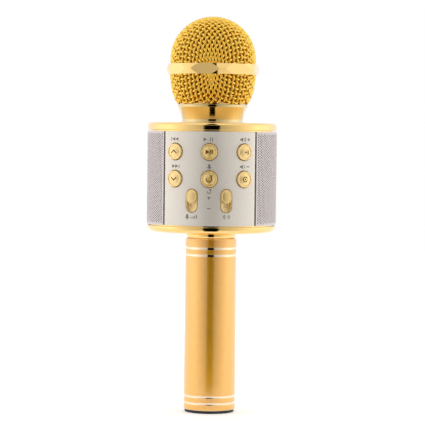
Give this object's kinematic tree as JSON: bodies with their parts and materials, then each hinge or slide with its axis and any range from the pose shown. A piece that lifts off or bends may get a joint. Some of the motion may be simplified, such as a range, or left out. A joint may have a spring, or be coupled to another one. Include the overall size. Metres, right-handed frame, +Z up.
{
  "type": "karaoke microphone",
  "caption": "Hand-held karaoke microphone with a wire-mesh ball, a round built-in speaker drum with a control panel, and a straight handle on a flat foot.",
  "frame": {"origin": "centre of the flat underside of the foot", "axes": "+Z up along the microphone's axis, control panel facing -Y, +X to the right of a viewer who faces the panel"},
  "size_m": [0.08, 0.0812, 0.245],
  "materials": {
    "gold_chrome": "mirror gold plating on plastic",
    "ring_metal": "mirror gold plating, faceted",
    "satin_gold": "satin anodised, champagne gold",
    "gold_mesh": "woven wire, gold plated",
    "satin_silver": "satin metallic paint, pale champagne",
    "perforated_steel": "perforated sheet, pale grey",
    "black_plastic": "fine matte",
    "grey_plastic": "matte",
    "foam": "open-cell foam",
    "steel": "bright steel",
    "brass": "bright",
    "circuit_board": "solder mask",
    "paper_cone": "treated paper",
    "magnet": "ferrite with a plated cup",
    "battery_wrap": "shrink wrap",
    "red_wire": "wire insulation",
    "black_wire": "wire insulation"
  },
  "bodies": {
    "housing": {"mic_capsule": "steel", "capsule_holder": "grey_plastic", "capsule_lead": "black_wire", "neck": "gold_chrome", "neck_nut": "brass", "top_cap": "gold_chrome", "bottom_cap": "gold_chrome", "speaker_sleeve": "perforated_steel", "control_panel": "satin_silver", "switch_left_top": "black_plastic", "switch_centre_top": "black_plastic", "switch_right_top": "black_plastic", "switch_left_bottom": "black_plastic", "switch_centre_bottom": "black_plastic", "switch_right_bottom": "black_plastic", "slider_tray_left": "gold_chrome", "slider_tray_right": "gold_chrome", "slide_pot_left": "steel", "slide_pot_right": "steel", "control_board": "circuit_board", "speaker_box": "black_plastic", "speaker_basket_left": "steel", "speaker_basket_right": "steel", "speaker_cone_left": "paper_cone", "speaker_cone_right": "paper_cone", "speaker_magnet_left": "magnet", "speaker_magnet_right": "magnet", "port_board": "circuit_board", "charge_port": "steel", "audio_jack": "black_plastic", "power_switch": "steel", "cap_screw_1": "steel", "cap_screw_2": "steel", "cap_screw_3": "steel", "cap_screw_4": "steel", "handle_collar": "gold_chrome", "handle_nut": "brass", "handle_tube": "satin_gold", "end_cap": "black_plastic", "battery_cell": "battery_wrap", "battery_cradle": "black_plastic", "battery_contact": "brass", "battery_spring": "steel", "battery_lead_positive": "red_wire", "battery_lead_negative": "black_wire"},
    "ball_lift": {"foam_windscreen": "foam"},
    "ball": {"grille_dome": "gold_mesh", "grille_bowl": "gold_mesh", "grille_ring": "ring_metal", "grille_collar": "gold_chrome"},
    "key_left_top": {"button_left_top": "gold_chrome"},
    "key_centre_top": {"button_centre_top": "gold_chrome"},
    "key_right_top": {"button_right_top": "gold_chrome"},
    "key_left_bottom": {"button_left_bottom": "gold_chrome"},
    "key_centre_bottom": {"button_centre_bottom": "gold_chrome"},
    "key_right_bottom": {"button_right_bottom": "gold_chrome"},
    "slider_left": {"slider_knob_left": "gold_chrome"},
    "slider_right": {"slider_knob_right": "gold_chrome"},
    "power": {"power_knob": "black_plastic"}
  },
  "joints": [
    {"name": "ball_rise", "type": "slide", "parent": "housing", "child": "ball_lift", "axis": [0, 0, 1], "range_m": [0, 0.0045]},
    {"name": "ball_unscrew", "type": "hinge", "parent": "ball_lift", "child": "ball", "pos_m": [0, 0, 0.2122], "axis": [0, 0, 1], "range_deg": [0, 1080]},
    {"name": "press_left_top", "type": "slide", "parent": "housing", "child": "key_left_top", "axis": [0.5225, 0.8526, 0], "range_m": [0, 0.0008], "stiffness_N_per_m": 800, "springref_m": -0.0005},
    {"name": "press_centre_top", "type": "slide", "parent": "housing", "child": "key_centre_top", "axis": [0, 1, 0], "range_m": [0, 0.0008], "stiffness_N_per_m": 800, "springref_m": -0.0005},
    {"name": "press_right_top", "type": "slide", "parent": "housing", "child": "key_right_top", "axis": [-0.5225, 0.8526, 0], "range_m": [0, 0.0008], "stiffness_N_per_m": 800, "springref_m": -0.0005},
    {"name": "press_left_bottom", "type": "slide", "parent": "housing", "child": "key_left_bottom", "axis": [0.5225, 0.8526, 0], "range_m": [0, 0.0008], "stiffness_N_per_m": 800, "springref_m": -0.0005},
    {"name": "press_centre_bottom", "type": "slide", "parent": "housing", "child": "key_centre_bottom", "axis": [0, 1, 0], "range_m": [0, 0.0008], "stiffness_N_per_m": 800, "springref_m": -0.0005},
    {"name": "press_right_bottom", "type": "slide", "parent": "housing", "child": "key_right_bottom", "axis": [-0.5225, 0.8526, 0], "range_m": [0, 0.0008], "stiffness_N_per_m": 800, "springref_m": -0.0005},
    {"name": "slide_left", "type": "slide", "parent": "housing", "child": "slider_left", "axis": [0, 0, -1], "range_m": [0, 0.0052]},
    {"name": "slide_right", "type": "slide", "parent": "housing", "child": "slider_right", "axis": [0, 0, -1], "range_m": [0, 0.0052]},
    {"name": "slide_power", "type": "slide", "parent": "housing", "child": "power", "axis": [1, 0, 0], "range_m": [0, 0.003]}
  ],
  "couplings": [
    {"joint": "ball_unscrew", "follows": "ball_rise", "rad_per_m": 4188.8}
  ]
}
